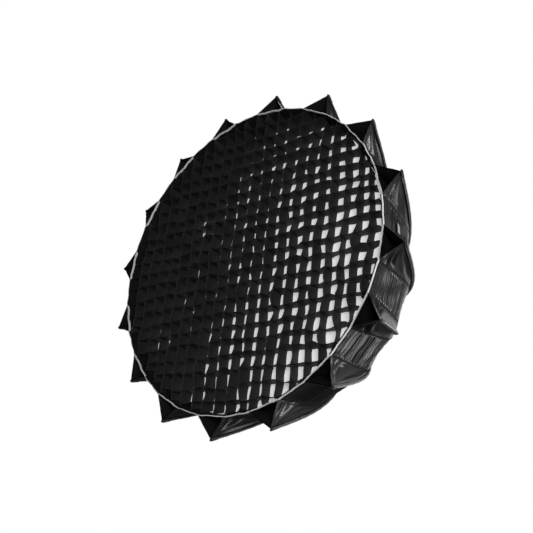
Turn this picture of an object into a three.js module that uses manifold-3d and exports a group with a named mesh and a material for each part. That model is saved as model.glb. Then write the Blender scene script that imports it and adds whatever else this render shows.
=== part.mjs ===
// A sixteen-rod folding octabox (round dome softbox) with a fabric egg-crate grid.
// Millimetres. +Z is up, the dome opens towards -Y, and the origin is the centre of the
// rear face of the mounting flange, the face that seats on a lamp.
import * as THREE from 'three';
import { mergeVertices } from 'three/addons/utils/BufferGeometryUtils.js';
import ManifoldLibrary from 'manifold-3d';

// Dome
const rodCount = 16;
const rodStep = (2 * Math.PI) / rodCount;
const ringDepth = 805;            // from the mounting face forward to the rim's plane
const ringRadius = 660;           // of the rim's corners
const tipRadius = 743;            // of the rod tips
const tipSetback = 24;            // the tips lie this far behind the rim's plane
const cornerAngle = THREE.MathUtils.degToRad(6.17);   // rim corner to its rod
const gap = 0.5;                  // between pieces that touch
const ringSides = 48;

// Hub
const pivotRadius = 95;
const pivotDepth = 30;
const boreRadius = 49;
const sleeveRadius = 56;
const hubInnerRadius = 57;
const hubOuterRadius = 118;
const flangeRadius = 74;
const flangeThickness = 8;
const plateThickness = 5;
const hubBack = flangeThickness + gap + plateThickness + gap;
const hubFront = 45;
const wireRadius = 1.5;
const wireClearance = 2;
const thinPlate = 3;
const frontPlateInner = 67;
const retainerOuter = 66;
const retainerThickness = 4;

// Bayonet behind the flange
const bayonetLength = 14;
const bayonetWall = 4;
const lugCount = 3;
const lugWidth = 26;
const lugThickness = 4;
const lugReach = 10;
const lugDepth = -11.5;           // the middle of a lug's thickness

// Rods and their sockets
const rodRadius = 3.5;
const rodSides = 6;
const rodPieces = 12;
const rodBends = [[486, 181], [579, 395]];   // radius and depth of the curve's inner knots
const socketLength = 34;
const socketWidth = 13;
const socketHeight = 13;
const socketBack = 8;             // how far the socket reaches behind its pivot
const rodHoleRadius = 4.6;
const rodHoleDepth = 20;
const notchWidth = 15;
const notchLength = 60;
const notchDepth = 44;

// Fabric
const fabric = 2;                 // thickness of a side panel
const panelStart = 0.085;         // where a panel starts, as a share of the rod's curve
const panelRows = 11;
const seamStart = 0.72;           // where the gusset seams leave the rods
const cornerShare = 0.29;         // a rim corner's place across the panel's front edge
const narrowGusset = 0.1;         // a gusset's share of the panel's width before it opens
const pullPower = 1.55;           // how late the panel turns in towards the rim
const widestSpread = 3;
const seamClearance = 5.2;        // from a rod's centre to the edge of a panel
const bandHeight = 64;
const bandThickness = 2;
const bandInset = 8;              // the band lies this far inside the panels' front edges
const gridThickness = 52;
const gridCells = 12;
const gridStrip = 2;
const diffuserThickness = 2;
const baffleRadius = 340;
const baffleDepth = 420;
const collarBack = { radius: 131, depth: 33 };
const collarFront = { radius: 168, depth: 45.5 };

// Lock screw
const screwAngle = 8.5 * rodStep;
const screwDepth = 21;
const screwRadius = 3;
const knobRadius = 10;
const knobStart = 7;              // beyond the hub's outer face
const knobEnd = 21;

const colours = {
  castMetal: { color: 0x2b2c2e, roughness: 0.45, metalness: 0.8 },
  plate: { color: 0x1b1c1e, roughness: 0.5, metalness: 0.7 },
  steel: { color: 0x9a9c9f, roughness: 0.35, metalness: 1 },
  plastic: { color: 0x17181a, roughness: 0.6, metalness: 0 },
  rod: { color: 0x3a3b3d, roughness: 0.4, metalness: 0.2 },
  panel: { color: 0x0d0d0e, roughness: 0.55, metalness: 0 },
  binding: { color: 0xb9babb, roughness: 0.7, metalness: 0 },
  diffuser: { color: 0xf2f2f0, roughness: 0.9, metalness: 0 },
};

const library = await ManifoldLibrary();
library.setup();
const { Manifold, Mesh: ManifoldMesh } = library;

const group = new THREE.Group();

function addPiece(name, geometry, colour) {
  const mesh = new THREE.Mesh(geometry, new THREE.MeshStandardMaterial(colours[colour]));
  mesh.name = name;
  group.add(mesh);
  return mesh;
}

// A place given by its distance from the dome's axis, its distance in front of the
// mounting face, and its angle clockwise from the top as seen from the front.
function place(radius, depth, angle) {
  return new THREE.Vector3(radius * Math.sin(angle), -depth, radius * Math.cos(angle));
}

function numbered(stem, index) {
  return `${stem}_${String(index + 1).padStart(2, '0')}`;
}

function toSolid(geometry) {
  const bare = geometry.clone();
  bare.deleteAttribute('normal');
  bare.deleteAttribute('uv');
  const welded = mergeVertices(bare, 1e-4);
  return new Manifold(new ManifoldMesh({
    numProp: 3,
    vertProperties: new Float32Array(welded.attributes.position.array),
    triVerts: new Uint32Array(welded.index.array),
  }));
}

function toGeometry(solid) {
  const mesh = solid.getMesh();
  const geometry = new THREE.BufferGeometry();
  geometry.setAttribute('position', new THREE.BufferAttribute(mesh.vertProperties, 3));
  geometry.setIndex(new THREE.BufferAttribute(mesh.triVerts, 1));
  return geometry;
}

// A ring of material around the dome's axis, between two depths.
function ringGeometry(inner, outer, back, front, sides = ringSides) {
  const profile = [
    new THREE.Vector2(inner, back),
    new THREE.Vector2(outer, back),
    new THREE.Vector2(outer, front),
    new THREE.Vector2(inner, front),
    new THREE.Vector2(inner, back),
  ];
  return turned(profile, sides);
}

// Turns a closed profile of (radius, depth) points around the dome's axis.
function turned(profile, sides = ringSides) {
  const geometry = new THREE.LatheGeometry(profile, sides);
  geometry.rotateX(Math.PI);
  return geometry;
}

// A box whose length runs along `along` from `start`, turned to face the dome's axis.
function orientedBox(length, width, height, start, along, across) {
  const geometry = new THREE.BoxGeometry(length, width, height);
  geometry.translate(length / 2, 0, 0);
  const up = new THREE.Vector3().crossVectors(along, across);
  const turn = new THREE.Matrix4().makeBasis(along, across, up);
  turn.setPosition(start);
  geometry.applyMatrix4(turn);
  return geometry;
}

function rodBetween(from, to, radius, sides) {
  const along = new THREE.Vector3().subVectors(to, from);
  const geometry = new THREE.CylinderGeometry(radius, radius, along.length(), sides);
  const turn = new THREE.Quaternion().setFromUnitVectors(
    new THREE.Vector3(0, 1, 0), along.clone().normalize());
  geometry.applyQuaternion(turn);
  const middle = new THREE.Vector3().addVectors(from, to).multiplyScalar(0.5);
  geometry.translate(middle.x, middle.y, middle.z);
  return geometry;
}

// The centre line of the rod at this angle: straight out of its socket, bowed outwards.
function rodCurve(angle) {
  const [first, second] = rodBends.map(([radius, depth]) => place(radius, depth, angle));
  return new THREE.CubicBezierCurve3(
    place(pivotRadius, pivotDepth, angle),
    first,
    second,
    place(tipRadius, ringDepth - tipSetback, angle),
  );
}

// The grid: upright and level strips of cloth that cross, with a strip round the edge.
// It has half as many strips as the cloth grid, which is enough for its mass and outline.
function grid(radius, back) {
  const edge = flatSheet(rimOutline(radius), rimOutline(radius - gridStrip), back, gridThickness);
  let solid = toSolid(edge);
  const area = toSolid(flatSheet(rimOutline(radius - gridStrip / 2), null, back, gridThickness));
  for (let strip = 1; strip < gridCells; strip += 1) {
    const across = radius * (2 * strip / gridCells - 1);
    const upright = new THREE.BoxGeometry(gridStrip, 2 * gridThickness, 2 * radius);
    upright.translate(across, -back, 0);
    const level = new THREE.BoxGeometry(2 * radius, 2 * gridThickness, gridStrip);
    level.translate(0, -back, across);
    solid = solid.add(toSolid(upright).intersect(area));
    solid = solid.add(toSolid(level).intersect(area));
  }
  return toGeometry(solid);
}

function wireRing(radius) {
  const geometry = new THREE.TorusGeometry(pivotRadius, radius, 6, ringSides);
  geometry.rotateX(Math.PI / 2);
  geometry.translate(0, -pivotDepth, 0);
  return geometry;
}

// Mounting ring: the flange that seats on the lamp, a bayonet sleeve with three lugs
// behind it, and the bearing sleeve that the hub turns on.
function mountRing() {
  const profile = [
    [boreRadius, -bayonetLength], [boreRadius + bayonetWall, -bayonetLength],
    [boreRadius + bayonetWall, 0], [flangeRadius, 0],
    [flangeRadius, flangeThickness], [sleeveRadius, flangeThickness],
    [sleeveRadius, hubFront + gap], [boreRadius, hubFront + gap],
    [boreRadius, -bayonetLength],
  ];
  let solid = toSolid(turned(profile.map(([r, d]) => new THREE.Vector2(r, d))));
  for (let lug = 0; lug < lugCount; lug += 1) {
    const angle = lug * (2 * Math.PI / lugCount);
    const across = new THREE.Vector3(Math.cos(angle), 0, -Math.sin(angle));
    const outward = place(1, 0, angle);
    const start = place(boreRadius + 1, lugDepth, angle);
    solid = solid.add(toSolid(orientedBox(
      lugReach, lugWidth, lugThickness, start, outward, across)));
  }
  return toGeometry(solid);
}

// Hub body: a thick ring with a notch for each socket and a channel for the pivot wire.
function hubBody() {
  let solid = toSolid(ringGeometry(hubInnerRadius, hubOuterRadius, hubBack, hubFront));
  for (let rod = 0; rod < rodCount; rod += 1) {
    const angle = rod * rodStep;
    const across = new THREE.Vector3(Math.cos(angle), 0, -Math.sin(angle));
    const outward = place(1, 0, angle);
    const start = place(pivotRadius - socketBack - 4, pivotDepth + 10, angle);
    solid = solid.subtract(toSolid(orientedBox(
      notchLength, notchWidth, notchDepth, start, outward, across)));
  }
  solid = solid.subtract(toSolid(wireRing(wireClearance)));
  const from = place(hubInnerRadius - 5, screwDepth, screwAngle);
  const to = place(hubOuterRadius + 5, screwDepth, screwAngle);
  return toGeometry(solid.subtract(toSolid(rodBetween(from, to, screwRadius + gap, 12))));
}

// Socket: the hinge block that turns on the pivot wire and grips the foot of a rod.
function rodSocket(angle) {
  const curve = rodCurve(angle);
  const along = curve.getTangent(0);
  const across = new THREE.Vector3(Math.cos(angle), 0, -Math.sin(angle));
  const start = curve.getPoint(0).addScaledVector(along, -socketBack);
  const block = toSolid(orientedBox(
    socketBack + socketLength, socketWidth, socketHeight, start, along, across));
  const mouth = curve.getPoint(0).addScaledVector(along, socketLength + 1);
  const floor = curve.getPoint(0).addScaledVector(along, socketLength - rodHoleDepth);
  const hole = toSolid(rodBetween(floor, mouth, rodHoleRadius, 12));
  return toGeometry(block.subtract(hole).subtract(toSolid(wireRing(wireClearance))));
}

// Rod: a round bar swept along its curve, its foot inside the socket.
function rod(angle) {
  const whole = rodCurve(angle);
  const foot = (socketLength - rodHoleDepth + 2) / whole.getLength();
  const points = [];
  for (let step = 0; step <= rodPieces; step += 1) {
    points.push(whole.getPointAt(foot + (1 - foot) * (step / rodPieces)));
  }
  const path = new THREE.CatmullRomCurve3(points);
  const section = new THREE.Shape();
  for (let side = 0; side < rodSides; side += 1) {
    const turn = (side / rodSides) * 2 * Math.PI;
    const x = rodRadius * Math.cos(turn);
    const y = rodRadius * Math.sin(turn);
    if (side === 0) section.moveTo(x, y);
    else section.lineTo(x, y);
  }
  section.closePath();
  return new THREE.ExtrudeGeometry(section, { steps: rodPieces, extrudePath: path });
}

// How far along a side panel a row lies, 0 at the hub and 1 at the tips.
function rowShare(row) {
  return panelStart + (1 - panelStart) * (row / (panelRows - 1));
}

// Where the gusset seams cross a row: at the rods up to seamStart, then opening out
// to the rim's corners.
function seamShare(share) {
  const open = Math.max(0, (share - seamStart) / (1 - seamStart));
  return narrowGusset + (cornerShare - narrowGusset) * open;
}

// The front edge of the panel to the right of a rod: tip, corner, corner, next tip.
function frontEdge(angle, across, seam) {
  const left = place(tipRadius, ringDepth - tipSetback, angle);
  const right = place(tipRadius, ringDepth - tipSetback, angle + rodStep);
  const leftCorner = place(ringRadius, ringDepth, angle + cornerAngle);
  const rightCorner = place(ringRadius, ringDepth, angle + rodStep - cornerAngle);
  if (across < seam) return left.lerp(leftCorner, across / seam);
  if (across > 1 - seam) return right.lerp(rightCorner, (1 - across) / seam);
  return leftCorner.lerp(rightCorner, (across - seam) / (1 - 2 * seam));
}

// A point of the side panel to the right of the rod at this angle.
function panelPoint(angle, share, across) {
  const left = rodCurve(angle).getPoint(share);
  const right = rodCurve(angle + rodStep).getPoint(share);
  const width = left.distanceTo(right);
  const inset = seamClearance / width;
  const straight = left.lerp(right, inset + across * (1 - 2 * inset));
  const turnedIn = Math.max(0, (share - seamStart) / (1 - seamStart)) ** pullPower;
  const tipLeft = place(tipRadius, ringDepth - tipSetback, angle);
  const tipRight = place(tipRadius, ringDepth - tipSetback, angle + rodStep);
  const tipLine = tipLeft.lerp(tipRight, across);
  const pull = frontEdge(angle, across, seamShare(1)).sub(tipLine);
  const scaled = Math.min(1, across / seamShare(share), (1 - across) / seamShare(share));
  const full = Math.min(1, across / seamShare(1), (1 - across) / seamShare(1));
  const spread = full > 0 ? scaled / full : 1;
  return straight.addScaledVector(pull, turnedIn * Math.min(spread, widestSpread));
}

// Closes a grid of points into a thin sheet of even thickness.
function thickSheet(rows, thickness) {
  const rowCount = rows.length;
  const columnCount = rows[0].length;
  const positions = [];
  const offset = (row, column, side) => {
    const at = (r, c) => rows[Math.min(Math.max(r, 0), rowCount - 1)][
      Math.min(Math.max(c, 0), columnCount - 1)];
    const downRows = new THREE.Vector3().subVectors(at(row + 1, column), at(row - 1, column));
    const alongRow = new THREE.Vector3().subVectors(at(row, column + 1), at(row, column - 1));
    const normal = new THREE.Vector3().crossVectors(alongRow, downRows).normalize();
    return at(row, column).clone().addScaledVector(normal, side * thickness / 2);
  };
  for (const side of [1, -1]) {
    for (let row = 0; row < rowCount; row += 1) {
      for (let column = 0; column < columnCount; column += 1) {
        positions.push(...offset(row, column, side).toArray());
      }
    }
  }
  const vertex = (row, column, side) => (
    (side > 0 ? 0 : rowCount * columnCount) + row * columnCount + column);
  const index = [];
  const quad = (a, b, c, d) => index.push(a, b, c, a, c, d);
  for (let row = 0; row < rowCount - 1; row += 1) {
    for (let column = 0; column < columnCount - 1; column += 1) {
      quad(vertex(row, column, 1), vertex(row, column + 1, 1),
        vertex(row + 1, column + 1, 1), vertex(row + 1, column, 1));
      quad(vertex(row, column, -1), vertex(row + 1, column, -1),
        vertex(row + 1, column + 1, -1), vertex(row, column + 1, -1));
    }
    const last = columnCount - 1;
    quad(vertex(row, 0, 1), vertex(row + 1, 0, 1), vertex(row + 1, 0, -1), vertex(row, 0, -1));
    quad(vertex(row, last, -1), vertex(row + 1, last, -1),
      vertex(row + 1, last, 1), vertex(row, last, 1));
  }
  for (let column = 0; column < columnCount - 1; column += 1) {
    const last = rowCount - 1;
    quad(vertex(0, column, -1), vertex(0, column + 1, -1),
      vertex(0, column + 1, 1), vertex(0, column, 1));
    quad(vertex(last, column, 1), vertex(last, column + 1, 1),
      vertex(last, column + 1, -1), vertex(last, column, -1));
  }
  const geometry = new THREE.BufferGeometry();
  geometry.setAttribute('position', new THREE.Float32BufferAttribute(positions, 3));
  geometry.setIndex(index);
  return geometry;
}

// Side panel between the rod at this angle and the next one, with its two gussets.
function sidePanel(angle) {
  const rows = [];
  for (let row = 0; row < panelRows; row += 1) {
    const share = rowShare(row);
    const seam = seamShare(share);
    const acrosses = [0, seam / 2, seam, 0.5, 1 - seam, 1 - seam / 2, 1];
    rows.push(acrosses.map((across) => panelPoint(angle, share, across)));
  }
  return thickSheet(rows, fabric);
}

// A many-sided outline with its corners on both sides of each rod, `aside` away from it.
function outline(radius, asides) {
  const corners = [];
  for (let rod = rodCount; rod > 0; rod -= 1) {
    for (const aside of asides) {
      const angle = rod * rodStep + aside;
      corners.push(new THREE.Vector2(radius * Math.sin(angle), radius * Math.cos(angle)));
    }
  }
  return corners;
}

function rimOutline(radius) {
  return outline(radius, [cornerAngle, -cornerAngle]);
}

function flatSheet(outline, holeOutline, back, thickness) {
  const shape = new THREE.Shape(outline);
  if (holeOutline) shape.holes.push(new THREE.Path(holeOutline));
  const geometry = new THREE.ExtrudeGeometry(shape, { depth: thickness, bevelEnabled: false });
  geometry.rotateX(Math.PI / 2);
  geometry.translate(0, -back, 0);
  return geometry;
}

// Rear collar: the fabric cone behind the sockets that closes the dome around the hub.
function rearCollar() {
  const profile = [
    new THREE.Vector2(collarBack.radius, collarBack.depth),
    new THREE.Vector2(collarFront.radius, collarFront.depth),
    new THREE.Vector2(collarFront.radius, collarFront.depth + fabric),
    new THREE.Vector2(collarBack.radius, collarBack.depth + fabric),
    new THREE.Vector2(collarBack.radius, collarBack.depth),
  ];
  return turned(profile);
}

// Lock screw: a thumb knob on a shaft that passes through the hub to the bearing sleeve.
function lockScrew() {
  const foot = place(sleeveRadius + gap, screwDepth, screwAngle);
  const neck = place(hubOuterRadius + knobStart, screwDepth, screwAngle);
  const end = place(hubOuterRadius + knobEnd, screwDepth, screwAngle);
  const shaft = toSolid(rodBetween(foot, end, screwRadius, 12));
  return toGeometry(shaft.add(toSolid(rodBetween(neck, end, knobRadius, 10))));
}

function addHub() {
  addPiece('mount_ring', mountRing(), 'castMetal');
  const retainerBack = hubFront + 2 * gap;
  addPiece('retaining_ring', ringGeometry(
    boreRadius, retainerOuter, retainerBack, retainerBack + retainerThickness), 'plate');
  addPiece('hub_rear_plate',
    ringGeometry(hubInnerRadius, hubOuterRadius, flangeThickness + gap, hubBack - gap), 'plate');
  addPiece('hub_body', hubBody(), 'castMetal');
  addPiece('hub_front_plate', ringGeometry(
    frontPlateInner, pivotRadius - socketBack - 5, hubFront + gap, hubFront + gap + thinPlate),
  'plate');
  addPiece('pivot_wire', wireRing(wireRadius), 'steel');
  addPiece('lock_screw', lockScrew(), 'plastic');
}

function addRods() {
  for (let index = 0; index < rodCount; index += 1) {
    const angle = index * rodStep;
    addPiece(numbered('rod_socket', index), rodSocket(angle), 'plastic');
    addPiece(numbered('rod', index), rod(angle), 'rod');
  }
}

function addFabric() {
  for (let index = 0; index < rodCount; index += 1) {
    addPiece(numbered('side_panel', index), sidePanel(index * rodStep), 'panel');
  }
  addPiece('rear_collar', rearCollar(), 'panel');
  addPiece('inner_baffle',
    flatSheet(outline(baffleRadius, [0]), null, baffleDepth, diffuserThickness), 'diffuser');
  const bandOuter = ringRadius - bandInset;
  const gridRadius = bandOuter - bandThickness - 2;
  const gridBack = ringDepth - gridThickness - 1;
  addPiece('rim_band', flatSheet(rimOutline(bandOuter), rimOutline(bandOuter - bandThickness),
    ringDepth - bandHeight, bandHeight), 'binding');
  addPiece('front_diffuser', flatSheet(rimOutline(gridRadius), null,
    gridBack - diffuserThickness - 1, diffuserThickness), 'diffuser');
  addPiece('grid', grid(gridRadius, gridBack), 'panel');
}

addHub();
addRods();
addFabric();

export default group;
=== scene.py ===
"""Sixteen-rod folding dome softbox with a cloth egg-crate grid, dressed over its CAD frame.

Metres. The dome opens towards -Y, +Z is up, and the origin is the centre of the mounting
flange's rear face. Angles run clockwise from the top as seen from the front, so rod_01 is
at the top. A "share" runs along a rod's curve, 0 at its pivot and 1 at its tip.
"""
import math

import bmesh
import bpy
import numpy as np
from mathutils import Matrix, Vector


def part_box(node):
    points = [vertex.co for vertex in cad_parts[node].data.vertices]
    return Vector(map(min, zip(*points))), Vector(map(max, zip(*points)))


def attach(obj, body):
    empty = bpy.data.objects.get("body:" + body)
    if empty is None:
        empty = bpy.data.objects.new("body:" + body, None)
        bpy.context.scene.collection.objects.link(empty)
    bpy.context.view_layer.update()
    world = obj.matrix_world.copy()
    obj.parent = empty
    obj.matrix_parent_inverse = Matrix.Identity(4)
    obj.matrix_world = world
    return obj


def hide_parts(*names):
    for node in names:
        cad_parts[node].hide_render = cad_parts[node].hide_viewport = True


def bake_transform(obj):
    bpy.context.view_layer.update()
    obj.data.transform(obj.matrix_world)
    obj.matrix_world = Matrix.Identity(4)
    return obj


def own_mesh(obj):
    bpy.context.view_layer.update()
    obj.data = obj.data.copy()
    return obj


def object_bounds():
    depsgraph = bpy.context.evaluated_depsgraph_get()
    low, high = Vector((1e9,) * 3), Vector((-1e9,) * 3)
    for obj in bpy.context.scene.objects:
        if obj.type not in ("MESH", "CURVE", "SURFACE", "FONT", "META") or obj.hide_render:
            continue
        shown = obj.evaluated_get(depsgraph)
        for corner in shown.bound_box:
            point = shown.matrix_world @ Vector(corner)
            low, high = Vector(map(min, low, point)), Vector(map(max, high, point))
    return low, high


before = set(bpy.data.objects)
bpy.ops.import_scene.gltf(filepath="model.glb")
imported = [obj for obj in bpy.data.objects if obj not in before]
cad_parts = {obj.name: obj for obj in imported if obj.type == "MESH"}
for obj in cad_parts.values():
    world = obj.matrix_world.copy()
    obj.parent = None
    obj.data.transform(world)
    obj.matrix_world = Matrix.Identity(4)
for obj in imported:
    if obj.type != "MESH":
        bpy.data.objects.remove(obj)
cad_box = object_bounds()

# Dome, as the CAD has it
RODS = 16
STEP = 2 * math.pi / RODS
PIVOT = (0.095, 0.030)              # radius, depth
ROD_BENDS = ((0.486, 0.181), (0.579, 0.395))
TIP = (0.743, 0.781)
RING_DEPTH = -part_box("rim_band")[0][1]
RING_RADIUS = 0.660                 # of the rim's corners
CORNER_ANGLE = math.radians(6.17)   # rim corner to its rod
ROD_RADIUS = 0.0035
ROD_LENGTH = 1.04                   # turns a share into metres, a little over the real curve

# Side panels
PANEL_START = 0.058
PANEL_LIFT = -ROD_RADIUS - 0.001    # the cloth lies just inside the rods' line
SEAM_START = 0.30                   # where the gusset seams leave the rods
SEAM_CORNER = 0.2985                # share of the front edge's width, tip to corner
SEAM_POWER = 0.9
PULL_START = 0.66                   # where the middle of a panel starts to turn inwards
PULL_POWER = 1.25
WRINKLED_FROM = 0.60                # the cloth behind this is almost smooth
HEM_DEPTH = 0.030                   # from the front edge to the hem's seam
SEAM_HALF = 0.0036                  # half the width of a gusset's seam
RIDGE_HEIGHT = 0.0052               # of the gathers between the seams
TIP_FOLD_HEIGHT = 0.0072            # of the folds that fan out from a tip
HOLLOW_END = 0.80                   # share of the rod where the hollow's cloth ends
POCKET_SIDES = 20

# Plain tag
TAG_PANEL = 4                       # counted from 1
TAG_SHARE = 0.865
TAG_COLUMN = 0.53
TAG_LIFT = 0.0068
TAG_HALF = (0.019, 0.012)

# Grid, binding and diffusers
GRID_FRONT = -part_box("grid")[0][1]
GRID_RADIUS = 0.651
DIFFUSER_RADIUS = 0.634
GRID_CELLS = 22
GRID_PITCH = 2 * GRID_RADIUS / GRID_CELLS
GRID_TILT = math.radians(5.5)
GRID_WALL = 0.0006                  # thickness of the cloth
GRID_HEM = 0.0018                   # thickness of its folded front edge
WEDGES = 64
BAFFLE_DEPTH = -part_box("inner_baffle")[0][1]
BAFFLE_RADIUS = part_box("inner_baffle")[1][2]

# Collar round the hub
COLLAR_INNER = 0.1168
COLLAR_OUTER = 0.180

# Camera: where it stands, seen from the middle of the rim
CAMERA_FROM_RIM = Vector((2.227, -2.326, -1.049))
CAMERA_UP = Vector((0.064, -0.341, 0.938))
CAMERA_BACK = Vector((0.636, -0.710, -0.302))
LENS = 56.7

# Floor
FLOOR_HALF = 8.0
FLOOR_DROP = 1.9                    # below the lowest point of the dome


def number(stem, index):
    """The name of a numbered piece. Names count from 01."""
    return f"{stem}_{index % RODS + 1:02d}"


# ---------------------------------------------------------------- shapes

def spot(radius, depth, angle):
    """Points at these distances from the axis and in front of the flange."""
    radius, depth, angle = np.broadcast_arrays(radius, depth, angle)
    return np.stack([radius * np.sin(angle), -depth, radius * np.cos(angle)], -1)


def smooth(low, high, x):
    t = np.clip((np.asarray(x, float) - low) / (high - low), 0, 1)
    return t * t * (3 - 2 * t)


def bump(x, centre, width):
    """A soft ridge one high at centre."""
    return np.exp(-((np.asarray(x) - centre) / width) ** 2)


def ripples(x, y, wavelengths, stretch, seed):
    """Irregular folds across x that wander slowly along y, about -1 to 1."""
    dice = np.random.default_rng(seed)
    total = 0
    for length in wavelengths:
        phase, drift, beat = dice.uniform(0, 2 * math.pi, 3)
        wander = 0.9 * np.sin(y / stretch * 2 * math.pi + drift)
        swell = 0.6 + 0.4 * np.sin(x / (3.7 * length) + y / (0.6 * stretch) + beat)
        total = total + swell * np.sin(2 * math.pi * x / length + phase + wander)
    return total / len(wavelengths)


def rod_line(share):
    """(radius, depth) of a rod's centre line."""
    t = np.asarray(share, float)
    weights = ((1 - t) ** 3, 3 * (1 - t) ** 2 * t, 3 * (1 - t) * t ** 2, t ** 3)
    knots = (PIVOT, *ROD_BENDS, TIP)
    return (sum(w * k[0] for w, k in zip(weights, knots)),
            sum(w * k[1] for w, k in zip(weights, knots)))


def rod_outward(share):
    """Unit (radius, depth) direction square to the rod, away from the dome's inside."""
    r0, d0 = rod_line(np.asarray(share) - 1e-4)
    r1, d1 = rod_line(np.asarray(share) + 1e-4)
    length = np.hypot(r1 - r0, d1 - d0)
    return (d1 - d0) / length, -(r1 - r0) / length


def rod_spot(share, lift, angle):
    """Points on a rod's line, lifted outwards."""
    radius, depth = rod_line(share)
    out_radius, out_depth = rod_outward(share)
    return spot(radius + lift * out_radius, depth + lift * out_depth, angle)


def grid_faces(rows, columns, wrap=False):
    """Quads of a grid of points that is stored row by row."""
    last = columns if wrap else columns - 1
    row, column = np.meshgrid(np.arange(rows - 1), np.arange(last), indexing="ij")
    after = (column + 1) % columns
    quads = (row * columns + column, row * columns + after,
             (row + 1) * columns + after, (row + 1) * columns + column)
    return np.stack(quads, -1).reshape(-1, 4)


def make_piece(name, points, faces, materials, uv=None, slots=None):
    """A mesh object from arrays. uv holds one pair for each point, in metres."""
    mesh = bpy.data.meshes.new(name)
    points = np.asarray(points, float).reshape(-1, 3)
    faces = np.asarray(faces, np.int32)
    mesh.vertices.add(len(points))
    mesh.vertices.foreach_set("co", points.ravel())
    mesh.loops.add(faces.size)
    mesh.loops.foreach_set("vertex_index", faces.ravel())
    mesh.polygons.add(len(faces))
    mesh.polygons.foreach_set("loop_start", np.arange(len(faces), dtype=np.int32)
                              * faces.shape[1])
    for material in materials:
        mesh.materials.append(material)
    if slots is not None:
        mesh.polygons.foreach_set("material_index", np.asarray(slots, np.int32))
    if uv is not None:
        loops = np.empty(len(mesh.loops), np.int32)
        mesh.loops.foreach_get("vertex_index", loops)
        layer = mesh.uv_layers.new(name="cloth")
        layer.data.foreach_set("uv", np.asarray(uv, float).reshape(-1, 2)[loops].ravel())
    mesh.polygons.foreach_set("use_smooth", [True] * len(mesh.polygons))
    mesh.update(calc_edges=True)
    mesh.validate()
    piece = bpy.data.objects.new(name, mesh)
    bpy.context.scene.collection.objects.link(piece)
    return piece


def turn_points(points, angle):
    """Turns points clockwise about the dome's axis, as seen from the front."""
    points = np.asarray(points, float)
    x, y, z = points[..., 0], points[..., 1], points[..., 2]
    c, s = math.cos(angle), math.sin(angle)
    return np.stack([x * c + z * s, y, z * c - x * s], -1)


def grid_normals(points):
    """Unit normals of a grid of points, away from the dome's inside."""
    along = np.gradient(points, axis=0)
    across = np.gradient(points, axis=1)
    normal = np.cross(across, along)
    normal /= np.linalg.norm(normal, axis=-1, keepdims=True) + 1e-12
    outward = points * np.array([1, 0, 1])
    flip = np.sign(np.sum(normal * outward, -1).mean())
    for _ in range(3):
        beside = np.concatenate([normal[:, :1], normal, normal[:, -1:]], axis=1)
        normal = beside[:, :-2] + 2 * normal + beside[:, 2:]
        normal /= np.linalg.norm(normal, axis=-1, keepdims=True) + 1e-12
    return normal * flip


# ---------------------------------------------------------------- materials

class Nodes:
    """A short way to build a material's node tree."""

    def __init__(self, name):
        self.material = bpy.data.materials.new(name)
        self.material.use_nodes = True
        self.tree = self.material.node_tree
        self.shader = self.tree.nodes["Principled BSDF"]

    def add(self, kind, **settings):
        node = self.tree.nodes.new(kind)
        for key, value in settings.items():
            setattr(node, key, value)
        return node

    def link(self, source, target):
        self.tree.links.new(source, target)

    def math(self, operation, first, second=None):
        node = self.add("ShaderNodeMath", operation=operation)
        for slot, value in enumerate((first, second)):
            if value is None:
                continue
            if isinstance(value, (int, float)):
                node.inputs[slot].default_value = value
            else:
                self.link(value, node.inputs[slot])
        return node.outputs[0]

    def noise(self, vector, scale, detail=3.0):
        node = self.add("ShaderNodeTexNoise")
        node.inputs["Scale"].default_value = scale
        node.inputs["Detail"].default_value = detail
        self.link(vector, node.inputs["Vector"])
        return node.outputs["Fac"]

    def ramp(self, factor, low, high):
        """A colour or value that goes from low to high as factor goes from 0 to 1."""
        node = self.add("ShaderNodeMix", data_type="RGBA")
        self.link(factor, node.inputs["Factor"])
        node.inputs["A"].default_value = (*low, 1)
        node.inputs["B"].default_value = (*high, 1)
        return node.outputs["Result"]

    def range(self, factor, low, high):
        node = self.add("ShaderNodeMapRange")
        self.link(factor, node.inputs["Value"])
        node.inputs["To Min"].default_value = low
        node.inputs["To Max"].default_value = high
        return node.outputs["Result"]

    def threads(self, vector, pitch):
        """A plain weave: ribs both ways that pass over and under each other."""
        split = self.add("ShaderNodeSeparateXYZ")
        self.link(vector, split.inputs[0])
        turns = 2 * math.pi / pitch
        warp = self.math("SINE", self.math("MULTIPLY", split.outputs[0], turns))
        weft = self.math("SINE", self.math("MULTIPLY", split.outputs[1], turns))
        return self.math("MULTIPLY", warp, weft)

    def bump(self, height, strength, distance, under=None):
        node = self.add("ShaderNodeBump")
        node.inputs["Strength"].default_value = strength
        node.inputs["Distance"].default_value = distance
        self.link(height, node.inputs["Height"])
        if under is not None:
            self.link(under, node.inputs["Normal"])
        return node.outputs["Normal"]

    def set(self, **values):
        for key, value in values.items():
            self.shader.inputs[key.replace("_", " ")].default_value = value


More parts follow.
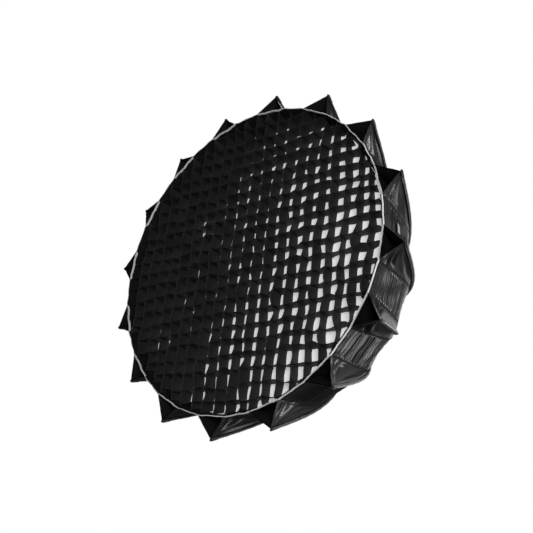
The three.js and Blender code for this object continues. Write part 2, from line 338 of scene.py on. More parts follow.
def cloth(name, dark, light, roughness, weave, weave_depth, sheen=0.0, metallic=0.0,
          crinkle=0.0, gloss=0.5, painted_glow=0.0):
    """Woven cloth: weave is its thread pitch, crinkle the height of its fine creases, and
    painted_glow a painted light that makes it shine.
    """
    n = Nodes(name)
    where = n.add("ShaderNodeUVMap", uv_map="cloth").outputs["UV"]
    body = n.add("ShaderNodeTexCoord").outputs["Object"]
    mottle = n.noise(body, 22.0, 5.0)
    n.link(n.ramp(mottle, dark, light), n.shader.inputs["Base Color"])
    fine = n.noise(body, 160.0, 2.0)
    n.link(n.range(fine, roughness - 0.06, roughness + 0.06), n.shader.inputs["Roughness"])
    normal = n.bump(n.threads(where, weave), 0.6, weave_depth)
    if crinkle:
        normal = n.bump(n.noise(body, 55.0, 4.0), 0.5, crinkle, normal)
    n.link(normal, n.shader.inputs["Normal"])
    n.set(Metallic=metallic, Sheen_Weight=sheen, Sheen_Roughness=0.45,
          Specular_IOR_Level=gloss)
    # Painted light: an even white glow, as if a lamp shone through the cloth.
    if painted_glow:
        n.set(Emission_Color=(1, 1, 1, 1), Emission_Strength=painted_glow)
    return n.material


def tape(name, dark, light, rib, stitch_gap):
    """Ribbed binding tape with a row of stitches near each edge. u runs along it."""
    n = Nodes(name)
    where = n.add("ShaderNodeUVMap", uv_map="cloth").outputs["UV"]
    split = n.add("ShaderNodeSeparateXYZ")
    n.link(where, split.inputs[0])
    ribs = n.math("SINE", n.math("MULTIPLY", split.outputs[0], 2 * math.pi / rib))
    dashes = n.math("SINE", n.math("MULTIPLY", split.outputs[0], 2 * math.pi / stitch_gap))
    beside = n.math("ABSOLUTE", n.math("SUBTRACT", n.math("ABSOLUTE", split.outputs[1]), 0.6))
    row = n.math("LESS_THAN", beside, 0.07)
    stitch = n.math("MULTIPLY", row, n.math("GREATER_THAN", dashes, -0.35))
    body = n.add("ShaderNodeTexCoord").outputs["Object"]
    wear = n.noise(body, 40.0, 4.0)
    base = n.ramp(wear, dark, light)
    mix = n.add("ShaderNodeMix", data_type="RGBA")
    n.link(stitch, mix.inputs["Factor"])
    n.link(base, mix.inputs["A"])
    mix.inputs["B"].default_value = (*(0.75 * value for value in light), 1)
    n.link(mix.outputs["Result"], n.shader.inputs["Base Color"])
    normal = n.bump(ribs, 0.4, 0.0003)
    normal = n.bump(stitch, 0.7, 0.0006, normal)
    n.link(normal, n.shader.inputs["Normal"])
    n.set(Roughness=0.7, Sheen_Weight=0.2)
    return n.material


def solid_finish(name, dark, light, roughness, metallic, grain, depth):
    """Moulded or cast material: a fine grain in its surface and its colour."""
    n = Nodes(name)
    body = n.add("ShaderNodeTexCoord").outputs["Object"]
    mottle = n.noise(body, 35.0, 4.0)
    n.link(n.ramp(mottle, dark, light), n.shader.inputs["Base Color"])
    n.link(n.range(mottle, roughness - 0.08, roughness + 0.08), n.shader.inputs["Roughness"])
    n.link(n.bump(n.noise(body, grain, 2.0), 0.5, depth), n.shader.inputs["Normal"])
    n.set(Metallic=metallic)
    return n.material


def grey(value, tint=0.0):
    return (value, value, value + tint)


nylon = cloth("black_nylon", grey(0.005, 0.0004), grey(0.010, 0.0008), 0.36, 0.0012, 0.000006,
              crinkle=0.00004)
# A real matte seam, painted darker than the nylon to stand for the shade in its fold.
seam_and_shade_cloth = cloth("seam_tape_painted_shade", grey(0.003), grey(0.006), 0.8, 0.0015, 0.00015, gloss=0.2)
matte_lining = cloth("matte_lining", grey(0.0025), grey(0.005), 0.85, 0.0015, 0.0001, gloss=0.2)
silver_lining = cloth("silver_lining", grey(0.62), grey(0.78), 0.34, 0.002, 0.00015,
                      metallic=0.85, crinkle=0.0008)
grid_cloth = cloth("grid_cloth", grey(0.005), grey(0.009), 0.62, 0.0011, 0.0001,
                   crinkle=0.0003, gloss=0.35)
# Real folded hems and welts, painted lighter than the walls as the highlight where their edges
# catch the light.
grid_hem_and_highlight = cloth("grid_hem_and_highlight", grey(0.009), grey(0.016), 0.6, 0.0011, 0.0001, gloss=0.35)
# The diffusers glow with painted light, as if a lamp were lit inside the box; the scene has no
# such lamp.
diffusion = cloth("diffusion_cloth", grey(0.86), grey(0.93), 0.7, 0.001, 0.0001, sheen=0.1,
                  painted_glow=0.33)
binding_tape = tape("binding_tape", grey(0.68, 0.015), grey(0.86, 0.02), 0.0014, 0.004)
sleeve_tape = tape("sleeve_tape", grey(0.22, 0.012), grey(0.34, 0.018), 0.0012, 0.0045)
webbing = tape("black_webbing", grey(0.008), grey(0.018), 0.0016, 0.004)
label_cloth = tape("plain_label", (0.22, 0.225, 0.24), (0.34, 0.345, 0.36), 0.001, 0.003)
elastic = tape("elastic", grey(0.5), grey(0.62), 0.001, 0.02)
cast_metal = solid_finish("cast_metal", grey(0.03), grey(0.055), 0.42, 0.8, 900.0, 0.0002)
plate_metal = solid_finish("plate_metal", grey(0.02), grey(0.04), 0.38, 0.7, 1400.0, 0.0001)
plastic = solid_finish("moulded_plastic", grey(0.012), grey(0.022), 0.5, 0.0, 1100.0, 0.0002)
steel = solid_finish("steel_wire", grey(0.5), grey(0.62), 0.3, 1.0, 700.0, 0.0001)
rod_finish = solid_finish("glass_fibre", grey(0.05), grey(0.085), 0.35, 0.0, 500.0, 0.0001)


# ---------------------------------------------------------------- side panels

def seam_share(share):
    """Where a gusset seam crosses the panel at this share, as a share of its width."""
    opened = np.clip((share - SEAM_START) / (1 - SEAM_START), 0, 1) ** SEAM_POWER
    return 0.03 + (SEAM_CORNER - 0.03) * opened


def panel_columns(share, gusset, middle):
    """The shares of the width where a row has its points: closer at the seams."""
    width = 2 * rod_line(share)[0] * math.sin(STEP / 2)
    edge = SEAM_HALF / width
    seam = seam_share(share)
    left = np.linspace(0, seam - edge, gusset)
    centre = np.linspace(seam + edge, 1 - seam - edge, middle)
    half = np.concatenate([left, [seam]])
    return np.concatenate([half, centre, 1 - half[::-1]])


def front_corner_pull():
    """How far the rim's corner lies from the line between two tips: (radius, depth)."""
    half = STEP / 2
    radius = RING_RADIUS * math.cos(half - CORNER_ANGLE) - TIP[0] * math.cos(half)
    return radius, RING_DEPTH - TIP[1]


def panel_rows(lift, back_rows, front_rows, gusset=13, middle=40):
    """The bare panel between rod_01 and rod_02: (shares, columns, points)."""
    back = np.linspace(PANEL_START, WRINKLED_FROM, back_rows, endpoint=False)
    front = np.linspace(WRINKLED_FROM, 1, front_rows)
    shares = np.concatenate([back, front])
    columns = np.stack([panel_columns(share, gusset, middle) for share in shares])
    left = rod_spot(shares, lift, 0.0)[:, None, :]
    right = rod_spot(shares, lift, STEP)[:, None, :]
    points = left + (right - left) * columns[..., None]
    pull_radius, pull_depth = front_corner_pull()
    seam = seam_share(shares)[:, None]
    inwards = np.minimum(1, np.minimum(columns, 1 - columns) / seam)
    turned = np.clip((shares - PULL_START) / (1 - PULL_START), 0, 1) ** PULL_POWER
    amount = inwards * turned[:, None]
    pull = spot(pull_radius, pull_depth, STEP / 2)
    return shares, columns, points + amount[..., None] * pull


def gathers(along, across, seed):
    """Ridges across the cloth from seam to seam, about 21 mm apart, none quite alike."""
    dice = np.random.default_rng(seed)
    total = 0
    for spacing, height in ((0.0212, 1.0), (0.036, 0.4)):
        phase, tilt, beat, bend = dice.uniform(0, 2 * math.pi, 4)
        slant = 0.10 * math.sin(tilt) * across + 0.4 * across ** 2 * math.sin(bend)
        drift = 0.0030 * np.sin(along * 62 + beat) + 0.0006 * np.sin(across * 23 + bend)
        swell = 0.80 + 0.20 * np.sin(across * 8 + along * 37 + beat)
        wave = np.sin(2 * math.pi * (along + slant + drift) / spacing + phase)
        total = total + height * swell * (wave + 0.18 * wave ** 3)
    return total / 1.5


def tip_folds(from_front, edge_distance, seed):
    """Folds that fan out from a rod's tip across its gusset."""
    dice = np.random.default_rng(seed)
    phase, beat = dice.uniform(0, 2 * math.pi, 2)
    reach = np.hypot(edge_distance, from_front)
    around = np.arctan2(edge_distance, from_front + 0.004)
    wave = np.sin(around * 12 + phase) + 0.5 * np.sin(around * 21 + beat)
    return wave * smooth(0.01, 0.10, reach) * smooth(0.45, 0.14, reach)


def panel_relief(shares, columns, seed, fine=1.0):
    """Height of the cloth above the bare panel. With fine at 0 the small folds are left out."""
    share = shares[:, None]
    width = 2 * rod_line(share)[0] * math.sin(STEP / 2)
    from_front = (1 - share) * ROD_LENGTH
    x = (columns - 0.5) * width
    edge_distance = np.minimum(columns, 1 - columns) * width
    seam_distance = (np.minimum(columns, 1 - columns) - seam_share(share)) * width
    held = smooth(0.0, 0.020, edge_distance)
    sag = -0.010 * np.sin(math.pi * columns) * smooth(0.95, 0.5, share)

    between_seams = smooth(0.0, 0.014, seam_distance)
    strength = smooth(0.032, 0.105, from_front) * smooth(0.37, 0.16, from_front)
    cross_ridges = RIDGE_HEIGHT * gathers(from_front, x, seed) * strength * between_seams

    fans = np.where(columns >= 0.5, tip_folds(from_front, edge_distance, seed + 31),
                    tip_folds(from_front, edge_distance, seed + 32))
    in_gusset = smooth(0.0, -0.018, seam_distance) * smooth(0.0, 0.014, edge_distance)
    gusset_folds = TIP_FOLD_HEIGHT * fans * in_gusset * smooth(0.0, 0.03, from_front)
    hollow = -0.005 * in_gusset * smooth(0.0, 0.10, from_front)

    long_folds = ripples(x, from_front, (0.027, 0.041), 0.35, seed + 20)
    long_folds = 0.0012 * long_folds * held * smooth(0.22, 0.45, from_front)
    slack = ripples(x + 0.3 * from_front, from_front, (0.083, 0.131), 0.5, seed + 50)
    soft = 0.0026 * slack * held * smooth(1.0, 0.93, share)
    hem = 0.0008 * bump(from_front, HEM_DEPTH, 0.0022)
    lip_wave = 0.0010 * ripples(x, from_front, (0.031, 0.052), 0.1, seed + 90)
    lip = lip_wave * smooth(0.07, 0.01, from_front)
    opened = smooth(SEAM_START, SEAM_START + 0.12, share)
    welt = 0.0008 * bump(seam_distance, 0.0, 0.0045) * opened
    puckers = 0.0009 * ripples(from_front, x, (0.013, 0.021), 0.2, seed + 70)
    pucker = puckers * bump(np.abs(seam_distance), 0.007, 0.006) * opened
    large = sag + hollow + soft + lip * held
    small = cross_ridges + gusset_folds + long_folds + hem * held + welt + pucker
    return large + fine * small


def cloth_uv(shares, columns):
    """Flat cloth coordinates in metres."""
    width = 2 * rod_line(shares)[0] * math.sin(STEP / 2)
    u = (columns - 0.5) * width[:, None]
    v = np.broadcast_to((shares * ROD_LENGTH)[:, None], u.shape)
    return np.stack([u, v], -1)


def follow_rods(piece):
    """Bakes the cloth's placement into its mesh."""
    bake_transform(piece)


def seam_faces(shares, columns):
    """True for the faces that lie on a gusset seam: they take the darker seam material, partly
    painted shade of the seam's fold.
    """
    width = 2 * rod_line(shares)[0] * math.sin(STEP / 2)
    from_seam = (np.minimum(columns, 1 - columns) - seam_share(shares)[:, None])
    on_seam = np.abs(from_seam * width[:, None]) < 0.75 * SEAM_HALF
    opened = (shares > SEAM_START)[:, None]
    touched = on_seam & opened
    return (touched[:-1, :-1] | touched[:-1, 1:]).ravel()


def add_side_panel(index):
    shares, columns, bare = panel_rows(PANEL_LIFT, 44, 150)
    relief = panel_relief(shares, columns, 11 + index)
    points = bare + relief[..., None] * grid_normals(bare)
    faces = grid_faces(*columns.shape)
    # Seam faces take the darker seam material: painted shade of the fold.
    piece = make_piece(number("outer_cloth", index), turn_points(points, index * STEP), faces,
                       [nylon, seam_and_shade_cloth], cloth_uv(shares, columns),
                       seam_faces(shares, columns))
    piece.shadow_terminator_geometry_offset = 0.4
    piece.shadow_terminator_shading_offset = 0.1
    follow_rods(piece)
    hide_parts(number("side_panel", index))


def add_lining(index):
    """The inside of a panel: silver, and black where it nears the front."""
    shares, columns, bare = panel_rows(PANEL_LIFT, 16, 40, 6, 20)
    relief = panel_relief(shares, columns, 11 + index, fine=0.0)
    off_the_rods = smooth(0.0, 0.08, columns * (1 - columns))
    behind_the_hem = smooth(1.0, 0.975, shares)[:, None]
    away = 0.003 + 0.009 * off_the_rods * behind_the_hem
    points = bare + (relief - away)[..., None] * grid_normals(bare)
    faces = grid_faces(*columns.shape)
    front = np.repeat(shares[:-1] > 0.76, columns.shape[1] - 1)
    piece = make_piece(number("lining", index), turn_points(points, index * STEP), faces,
                       [silver_lining, matte_lining], cloth_uv(shares, columns),
                       front.astype(int))
    follow_rods(piece)


# ---------------------------------------------------------------- rod sleeves

def swept(name, shares, section, lifts, angle, materials, closed=True):
    """Sweeps a cross-section of (across, out) points along a rod."""
    count = len(section)
    middle = rod_spot(shares, 0.0, angle)
    out = rod_spot(shares, 1.0, angle) - middle
    across = np.array([math.cos(angle), 0, -math.sin(angle)])
    section = np.asarray(section)
    points = (middle[:, None, :] + section[None, :, :1] * across
              + (section[None, :, 1:] + lifts[:, None, None]) * out[:, None, :])
    faces = grid_faces(len(shares), count, wrap=closed)
    along = np.concatenate([[0], np.cumsum(np.linalg.norm(np.diff(middle, axis=0), axis=1))])
    uv = np.stack(np.meshgrid(along, np.linspace(-1, 1, count), indexing="ij"), -1)
    return make_piece(name, points, faces, materials, uv)


def add_sleeve(index):
    """The black channel that holds the rod, and the pale tape sewn along its back."""
    angle = index * STEP
    shares = np.linspace(0.13, 0.992, 120)
    dice = np.random.default_rng(200 + index)
    waver = 0.0003 * np.sin(shares * 90 + dice.uniform(0, 6)) + 0.0002 * np.sin(shares * 212)
    turns = np.linspace(-0.5 * math.pi, 0.5 * math.pi, 9)
    arch = [(0.0043 * math.sin(t), 0.0043 * math.cos(t)) for t in turns]
    section = [(-0.0078, -0.0042), (-0.0048, -0.0035), *arch, (0.0048, -0.0035),
               (0.0078, -0.0042)]
    channel = swept(number("rod_sleeve", index), shares, section, waver, angle, [webbing],
                    closed=False)
    ribbon = [(-0.0034, 0.0028), (-0.0027, 0.0038), (-0.0015, 0.0045), (0, 0.0048),
              (0.0015, 0.0045), (0.0027, 0.0038), (0.0034, 0.0028)]
    strip = swept(number("sleeve_tape", index), np.linspace(0.15, 0.986, 120), ribbon,
                  waver, angle, [sleeve_tape], closed=False)
    for piece in (channel, strip):
        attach(piece, number("rod", index))


def add_tip_pocket(index):
    """The folded tape that closes the sleeve round the rod's end."""
    angle = index * STEP
    shares = np.array([0.968, 0.975, 0.985, 0.993, 0.9975, 1.0])
    sizes = np.array([1.0, 1.054, 1.108, 1.108, 1.018, 0.802])
    rounds = []
    for turn in np.linspace(0, 2 * math.pi, POCKET_SIDES, endpoint=False):
        c, s = math.cos(turn), math.sin(turn)
        rounds.append((math.copysign(abs(c) ** 0.55, c) * 0.0062,
                       math.copysign(abs(s) ** 0.55, s) * 0.0047))
    pocket = swept(number("tip_pocket", index), shares, rounds, np.zeros(len(shares)), angle,
                   [webbing])
    middle = rod_spot(shares, 0.0, angle)
    for row, size in enumerate(sizes):
        centre = Vector(middle[row])
        for column in range(POCKET_SIDES):
            vertex = pocket.data.vertices[row * POCKET_SIDES + column]
            vertex.co = centre + (vertex.co - centre) * size
    last = (len(shares) - 1) * POCKET_SIDES
    close_end(pocket, range(last, last + POCKET_SIDES))
    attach(pocket, number("rod", index))


def close_end(piece, ring):
    """Fills a ring of vertices with one face."""
    work = bmesh.new()
    work.from_mesh(piece.data)
    work.verts.ensure_lookup_table()
    work.faces.new([work.verts[vertex] for vertex in ring])
    work.to_mesh(piece.data)
    work.free()


def add_hollow_back(index):
    """The black cloth that closes the hollow behind the rim at each rod."""
    angle = index * STEP
    rows = np.linspace(0, 1, 22)
    columns = np.linspace(-1, 1, 25)
    start = spot(RING_RADIUS - 0.016, RING_DEPTH - 0.045, angle + columns * CORNER_ANGLE * 0.88)
    end = rod_spot(np.full(len(columns), HOLLOW_END), -0.026, angle)
    side = columns[:, None] * 0.004 * np.array([math.cos(angle), 0, -math.sin(angle)])
    points = start + (end + side - start) * rows[:, None, None]
    bow = np.sin(math.pi * rows)[:, None] * (1 - columns ** 2)
    folds = 0.004 * np.sin(columns * 9 + index)[None, :] * np.sin(math.pi * rows)[:, None]
    out = spot(1.0, 0.0, angle)
    points = points + (0.004 * bow + folds)[..., None] * out
    uv = np.stack(np.meshgrid(rows * 0.2, columns * 0.07, indexing="ij"), -1)
    piece = make_piece(number("hollow_back", index), points,
                       grid_faces(len(rows), len(columns)),
                       [matte_lining], uv)
    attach(piece, number("rod", index))


# ---------------------------------------------------------------- rim, grid, diffusers

def add_wedges(stem, points, faces, materials, uv, slots=None):
    """Cuts a round sheet into wedges, each attached to the hub."""
    points = np.asarray(points).reshape(-1, 3)
    uv = np.asarray(uv).reshape(-1, 2)
    slots = np.zeros(len(faces), int) if slots is None else np.asarray(slots)
    centres = points[faces].mean(1)
    angles = np.arctan2(centres[:, 0], centres[:, 2]) % (2 * math.pi)
    wedge_of = np.minimum((angles / (2 * math.pi) * WEDGES).astype(int), WEDGES - 1)
    pieces = []
    for wedge in range(WEDGES):
        chosen = np.flatnonzero(wedge_of == wedge)
        used, local = np.unique(faces[chosen], return_inverse=True)
        piece = make_piece(f"{stem}_{wedge + 1:02d}", points[used],
                           local.reshape(-1, faces.shape[1]), materials, uv[used],
                           slots[chosen])
        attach(piece, "hub")
        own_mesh(piece)
        pieces.append(piece)
    return pieces


def rim_path(radius, steps=6):
    """Angles and radii round the rim: straight between its corners."""
    angles, radii = [], []
    corners = sorted(rod * STEP + side * CORNER_ANGLE for rod in range(RODS)
                     for side in (-1, 1))
    corners.append(corners[0] + 2 * math.pi)
    for low, high in zip(corners[:-1], corners[1:]):
        for step in range(steps):
            angle = low + (high - low) * step / steps
            middle = (low + high) / 2
            angles.append(angle)
            radii.append(radius * math.cos((high - low) / 2) / math.cos(angle - middle))
    return np.array(angles), np.array(radii)


def rim_loft(section, waver=0.0):
    """Sweeps a section of (inwards, depth) points round the rim: points, faces, uv."""
    angles, radii = rim_path(RING_RADIUS)
    section = np.asarray(section)
    wave = waver * np.sin(angles * 57) + 0.6 * waver * np.sin(angles * 131 + 1)
    radius = radii[:, None] - section[None, :, 0] + wave[:, None]
    depth = RING_DEPTH + section[None, :, 1] + 0.6 * wave[:, None]
    points = spot(radius, depth, angles[:, None])
    faces = grid_faces(len(angles), len(section))
    close = grid_faces(2, len(section))
    last = (len(angles) - 1) * len(section)
    close = np.where(close < len(section), close + last, close - len(section))
    uv = np.stack(np.meshgrid(angles * RING_RADIUS, np.linspace(-1, 1, len(section)),
                              indexing="ij"), -1)
    return points, np.concatenate([faces, close]), uv


def add_binding():
    """Pale tape folded over the grid's front edge."""
    section = [(0.0036, -0.0080), (0.0038, 0.0002), (0.0033, 0.0010), (0.0020, 0.0013),
               (0.0005, 0.0010), (0.0, 0.0003), (-0.0002, -0.0020), (0.0, -0.0050)]
    points, faces, uv = rim_loft(section, 0.0013)
    pieces = add_wedges("grid_binding", points, faces, [binding_tape], uv)
    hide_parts("rim_band")


def add_rim_band():
    """The black band with hook tape that the grid and diffuser press on to."""
    section = [(0.0030, -0.006), (0.0100, -0.03), (0.0165, -0.055), (0.0190, -0.064),
               (0.0210, -0.064), (0.0175, -0.05), (0.0120, -0.03), (0.0052, -0.008)]
    points, faces, uv = rim_loft(section, 0.0004)
    for piece in add_wedges("hook_band", points, faces, [matte_lining], uv):
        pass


def cloth_depth(x, z):
    """Depth that follows the front diffuser: farther forward to the right, less so at the top."""
    return GRID_FRONT - 0.065 + 0.014 * smooth(-0.35, 0.62, x) - 0.007 * smooth(0.1, 0.6, z)


def grid_warp(across, up):
    """Slow waves that pull the whole grid out of square, more so near the rim."""
    reach = np.hypot(across, up) / GRID_RADIUS
    size = 0.0022 + 0.0045 * smooth(0.55, 1.0, reach)
    shift = size * np.sin(across * 13 + 2.2 * np.sin(up * 9))
    rise = size * np.sin(up * 15 + 1.7 * np.sin(across * 11) + 1.0)
    inside = smooth(1.0, 0.96, reach)
    return across + shift * inside, up + rise * inside


def cross_steps(half):
    """Places along a strip, closer together where it meets the strips that cross it."""
    cells = int(math.ceil(half / GRID_PITCH))
    within = np.array([0, 0.035, 0.06, 0.09, 0.25, 0.5, 0.75, 0.91, 0.94, 0.965])
    places = (np.arange(-cells, cells)[:, None] + within).ravel() * GRID_PITCH
    places = places[(places > -half) & (places < half)]
    return np.concatenate([[-half], places, [half]])


def grid_wander(along, seed):
    """How far a strip strays sideways along its length: pinned at each crossing."""
    dice = np.random.default_rng(seed)
    cell = along / GRID_PITCH
    knots = dice.normal(0, 0.0028, GRID_CELLS + 3)
    at_knots = np.interp(cell + GRID_CELLS / 2, np.arange(GRID_CELLS + 3) - 1, knots)
    bows = dice.normal(0, 0.0036, GRID_CELLS + 3)
    which = np.clip(np.floor(cell + GRID_CELLS / 2).astype(int) + 1, 0, GRID_CELLS + 2)
    return at_knots + bows[which] * np.abs(np.sin(math.pi * (cell + GRID_CELLS / 2)))


def strip_section():
    """A strip's section: sideways from its middle, and the share of the way to its back."""
    wall, hem = GRID_WALL / 2, GRID_HEM / 2
    return np.array([(-wall, 1.0), (-wall, 0.6), (-wall, 0.25), (-wall, 0.11), (-hem, 0.09),
                     (-hem, 0.015), (0.0, 0.0), (hem, 0.015), (hem, 0.09), (wall, 0.11),
                     (wall, 0.25), (wall, 0.6), (wall, 1.0)])


def tilted(across, up, depth):
    """Points of the grid, turned to its tilt."""
    c, s = math.cos(GRID_TILT), math.sin(GRID_TILT)
    return np.stack([across * c - up * s, -depth, across * s + up * c], -1)


def grid_strip(line, upright, seed):
    """One strip of the grid: a wall on edge with a folded hem along its front."""
    offset = (line - GRID_CELLS / 2) * GRID_PITCH
    half = math.sqrt(max((GRID_RADIUS * 0.995) ** 2 - offset ** 2, 0.0))
    along = cross_steps(half)
    front = grid_wander(along, seed)
    back = grid_wander(along, seed + 400) * 0.6
    dice = np.random.default_rng(seed + 800)
    lean = dice.normal(0, 0.0012)
    cell = along / GRID_PITCH
    between = np.abs(np.sin(math.pi * cell))
    droop = 0.0024 * between * dice.uniform(0.5, 1.4)
    weight = 0.0 if upright else -0.0016
    near = np.abs(cell - np.round(cell))
    welt = 0.0016 * bump(near, 0.06, 0.03)
    shape = strip_section()
    fall = shape[None, :, 1]
    thick = shape[None, :, 0] + np.sign(shape[None, :, 0]) * welt[:, None] * (fall > 0.1)
    side = (offset + thick + (front * (1 + 0.35 * between))[:, None] * (1 - fall)
            + back[:, None] * fall + lean * (1 - fall) + weight * between[:, None])
    run = np.broadcast_to(along[:, None], side.shape)
    across, up = (side, run) if upright else (run, side)
    reach = GRID_FRONT - cloth_depth(across, up) - 0.0012
    sink = fall * reach + droop[:, None] * (1 - fall) ** 2
    edge = smooth(GRID_RADIUS - 0.06, GRID_RADIUS, np.hypot(across, up))
    narrow = 1 - (1 - DIFFUSER_RADIUS / GRID_RADIUS) * fall * edge
    across, up = across * narrow, up * narrow
    across, up = grid_warp(across, up)
    points = tilted(across, up, GRID_FRONT - sink)
    faces = grid_faces(len(along), len(shape))
    column = np.arange(len(faces)) % (len(shape) - 1)
    row = np.arange(len(faces)) // (len(shape) - 1)
    # Hem and welt faces take the lighter grid material: painted highlight on edges that catch the
    # light.
    on_hem = (column >= 3) & (column <= 8)
    on_welt = (near[row] + near[row + 1]) / 2 < 0.065
    uv = np.stack([run, sink], -1)
    return (points.reshape(-1, 3), faces, uv.reshape(-1, 2),
            (on_hem | on_welt).astype(int))


def add_grid():
    parts = []
    for line in range(1, GRID_CELLS):
        parts.append(grid_strip(line, True, 1000 + line))
        parts.append(grid_strip(line, False, 3000 + line))
    shift, faces = 0, []
    for points, part_faces, _, _ in parts:
        faces.append(part_faces + shift)
        shift += len(points)
    pieces = add_wedges("grid_cells", np.concatenate([p[0] for p in parts]),
                        np.concatenate(faces), [grid_cloth, grid_hem_and_highlight],
                        np.concatenate([p[2] for p in parts]),
                        np.concatenate([p[3] for p in parts]))
    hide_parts("grid")


def add_disc(stem, node, radius, depth_at, rings, material, corners=None):
    """A stretched round cloth with shallow folds from its edge."""
    turns = WEDGES * 4
    angle = np.arange(turns) / turns * 2 * math.pi
    share = np.linspace(0.004, 1, rings)[:, None]
    reach = radius if corners is None else corners(angle, radius)
    spread = share * np.broadcast_to(reach, (rings, turns))
    folds = 0.0018 * np.sin(angle * 23 + 2 * np.sin(angle * 3)) * smooth(0.35, 1.0, share)
    slack = 0.0022 * np.sin(angle * 5 + share * 9) * share * (1 - share) * 3
    points = spot(spread, depth_at(spread, angle[None, :]) + folds + slack, angle[None, :])
    faces = grid_faces(rings, turns, wrap=True)
    uv = np.stack([points[..., 0], points[..., 2]], -1)
    pieces = add_wedges(stem, points, faces, [material], uv)
    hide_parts(node)


def front_cloth_depth(reach, angle):
    """The front diffuser lies 3 mm behind cloth_depth, clear of the grid's strips."""
    return cloth_depth(reach * np.sin(angle), reach * np.cos(angle)) - 0.003


def baffle_cloth_depth(reach, angle):
    """The baffle is a shallow bowl, the same all round."""
    return BAFFLE_DEPTH - 0.004 * (reach / BAFFLE_RADIUS) ** 2


def add_diffusers():
    add_disc("front_cloth", "front_diffuser", DIFFUSER_RADIUS, front_cloth_depth, 34,
             diffusion)
    add_disc("baffle_cloth", "inner_baffle", BAFFLE_RADIUS, baffle_cloth_depth, 18,
             diffusion, corners=baffle_edge)
    for index in range(0, RODS, 2):
        add_baffle_strap(index)


def baffle_edge(angle, radius):
    """The baffle's edge: corners at the rods, pulled in between them."""
    off = np.abs((angle + STEP / 2) % STEP - STEP / 2) / (STEP / 2)
    return radius * (1 - 0.045 * off ** 0.8)


def add_baffle_strap(index):
    """Elastic from a corner of the baffle to the rod beside it."""
    angle = index * STEP
    rod_reach = np.interp(BAFFLE_DEPTH, *reversed(rod_line(np.linspace(0, 1, 200))))
    run = np.linspace(BAFFLE_RADIUS - 0.03, rod_reach - 0.012, 24)
    section = np.array([(-0.01, 0.0), (-0.01, 0.001), (0.01, 0.001), (0.01, 0.0)])
    sag = 0.004 * np.sin(np.linspace(0, math.pi, len(run)))
    middle = spot(run, BAFFLE_DEPTH - 0.002 - sag, angle)
    across = np.array([math.cos(angle), 0, -math.sin(angle)])
    points = (middle[:, None, :] + section[None, :, :1] * across
              + section[None, :, 1:] * np.array([0, 1, 0]))
    uv = np.stack(np.meshgrid(run, (-1, -0.9, 0.9, 1), indexing="ij"), -1)
    piece = make_piece(number("baffle_strap", index), points,
                       grid_faces(len(run), len(section), wrap=True),
                       [elastic], uv)
    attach(piece, "hub")
    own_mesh(piece)


# ---------------------------------------------------------------- hub

def add_collar():
    """The gathered cloth cone behind the sockets."""
    turns, rows = 384, 22
    angle = np.arange(turns) / turns * 2 * math.pi
    share = np.linspace(0, 1, rows)[:, None]
    pleats = np.abs(np.sin(angle * 24)) * 0.0035 * (1 - 0.75 * share)
    fine = 0.0008 * np.sin(angle * 101 + 2 * np.sin(angle * 7))
    lifted = 0.0020 * np.cos(angle * RODS) * share
    radius = COLLAR_INNER + (COLLAR_OUTER - COLLAR_INNER) * share
    depth = 0.030 + 0.0270 * share + 0.0185 * share ** 2 + pleats + fine - lifted
    points = spot(radius, depth, angle[None, :])
    uv = np.stack(np.broadcast_arrays(angle[None, :] * 0.15, share * 0.06), -1)
    piece = make_piece("collar_cloth", points, grid_faces(rows, turns, wrap=True),
                       [nylon], uv)
    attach(piece, "hub")
    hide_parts("rear_collar")


def dress_cad():
    """Finishes and softened edges for the CAD pieces that stay in view."""
    finishes = {"mount_ring": cast_metal, "retaining_ring": plate_metal,
                "hub_rear_plate": plate_metal, "hub_body": plastic,
                "hub_front_plate": plate_metal, "pivot_wire": steel, "lock_screw": plastic}
    for index in range(RODS):
        finishes[number("rod", index)] = rod_finish
        finishes[number("rod_socket", index)] = plastic
    for name, finish in finishes.items():
        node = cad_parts[name]
        for slot in node.material_slots:
            slot.material = finish
        if finish in (rod_finish, steel):
            continue
        soften = node.modifiers.new("edges", "BEVEL")
        soften.width = 0.0006
        soften.segments = 2
        soften.limit_method = "ANGLE"


def add_label():
    """A plain woven tag sewn to one side panel."""
    index = TAG_PANEL - 1
    shares, columns, bare = panel_rows(PANEL_LIFT, 20, 60)
    normal = grid_normals(bare)
    row = int(np.argmin(np.abs(shares - TAG_SHARE)))
    column = int(columns.shape[1] * TAG_COLUMN)
    centre = bare[row, column] + normal[row, column] * TAG_LIFT
    along = bare[row + 1, column] - bare[row - 1, column]
    along /= np.linalg.norm(along)
    across = np.cross(normal[row, column], along)
    u, v = np.meshgrid(np.linspace(-1, 1, 9), np.linspace(-1, 1, 13), indexing="ij")
    curl = 0.0012 * (u ** 2 + 0.5 * v ** 2)
    points = (centre + u[..., None] * TAG_HALF[0] * across
              + v[..., None] * TAG_HALF[1] * along
              + (0.0006 - 0.5 * curl)[..., None] * normal[row, column])
    piece = make_piece("plain_tag", turn_points(points, index * STEP), grid_faces(9, 13),
                       [label_cloth], np.stack([u * TAG_HALF[0], v], -1))
    follow_rods(piece)


# ---------------------------------------------------------------- stage

def add_stage():
    """A pale floor. Diffuse and glossy rays miss it, so that the black cloth stays black."""
    height = cad_box[0][2] - FLOOR_DROP
    corners = [(side * FLOOR_HALF, end * FLOOR_HALF, height)
               for side, end in ((-1, -1), (1, -1), (1, 1), (-1, 1))]
    floor = make_piece("floor", corners, np.array([[0, 1, 2, 3]]), [floor_finish()])
    floor.visible_diffuse = False
    floor.visible_glossy = False


def floor_finish():
    n = Nodes("pale_floor")
    body = n.add("ShaderNodeTexCoord").outputs["Object"]
    n.link(n.ramp(n.noise(body, 3.0), grey(0.10), grey(0.12)), n.shader.inputs["Base Color"])
    n.set(Roughness=0.9, Emission_Color=(1, 1, 1, 1), Emission_Strength=0.88)
    return n.material


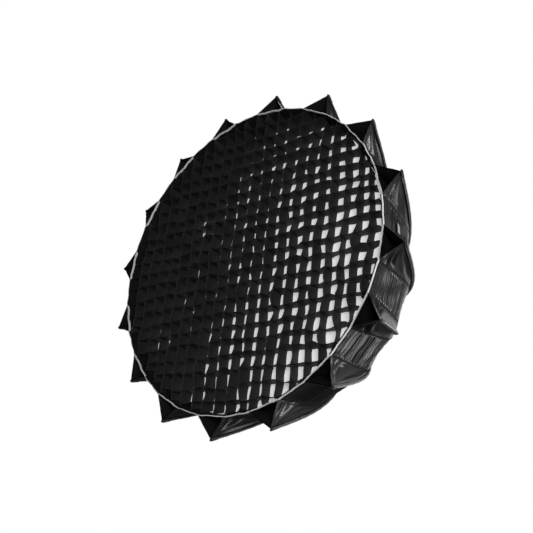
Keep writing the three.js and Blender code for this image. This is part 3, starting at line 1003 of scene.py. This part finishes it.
def add_light(name, place, target, size, power):
    data = bpy.data.lights.new(name, "AREA")
    data.shape = "DISK"
    data.size = size
    data.energy = power
    light = bpy.data.objects.new(name, data)
    light.location = place
    facing = Vector(target) - Vector(place)
    light.rotation_euler = facing.to_track_quat("-Z", "Y").to_euler()
    bpy.context.scene.collection.objects.link(light)
    return light


def add_lights():
    """The lamps light the dome. The world is bright to the camera and dim as a light."""
    world = bpy.data.worlds.new("studio")
    world.use_nodes = True
    tree = world.node_tree
    background = tree.nodes["Background"]
    background.inputs["Color"].default_value = (1, 1, 1, 1)
    path = tree.nodes.new("ShaderNodeLightPath")
    strength = tree.nodes.new("ShaderNodeMapRange")
    tree.links.new(path.outputs["Is Camera Ray"], strength.inputs["Value"])
    strength.inputs["To Min"].default_value = 0.07
    strength.inputs["To Max"].default_value = 1.0
    tree.links.new(strength.outputs["Result"], background.inputs["Strength"])
    bpy.context.scene.world = world
    middle = (0, -RING_DEPTH, 0)
    add_light("front", (3.9, -4.9, -0.3), middle, 3.0, 205)
    add_light("key", (3.6, 1.2, 0.9), middle, 1.6, 100)
    add_light("low_rear", (2.6, 2.3, -1.9), middle, 1.6, 50)
    add_light("top", (-2.0, 1.9, 3.2), middle, 2.2, 55)
    wash = add_light("rear_wash", (-0.8, 3.6, 1.2), middle, 2.8, 38)
    wash.visible_camera = False


def add_camera():
    data = bpy.data.cameras.new("camera")
    data.lens = LENS
    data.sensor_width = 36
    data.clip_end = 50
    camera = bpy.data.objects.new("camera", data)
    back = CAMERA_BACK.normalized()
    right = CAMERA_UP.cross(back).normalized()
    up = back.cross(right)
    turn = Matrix((right, up, back)).transposed()
    camera.location = Vector((0, -RING_DEPTH, 0)) + CAMERA_FROM_RIM
    camera.rotation_euler = turn.to_euler()
    bpy.context.scene.collection.objects.link(camera)
    bpy.context.scene.camera = camera
    bpy.context.scene.view_settings.view_transform = "Standard"


def main():
    add_camera()
    add_lights()
    add_stage()
    dress_cad()
    for index in range(RODS):
        add_side_panel(index)
        add_lining(index)
        add_sleeve(index)
        add_tip_pocket(index)
        add_hollow_back(index)
    add_binding()
    add_rim_band()
    add_grid()
    add_diffusers()
    add_collar()
    add_label()


main()
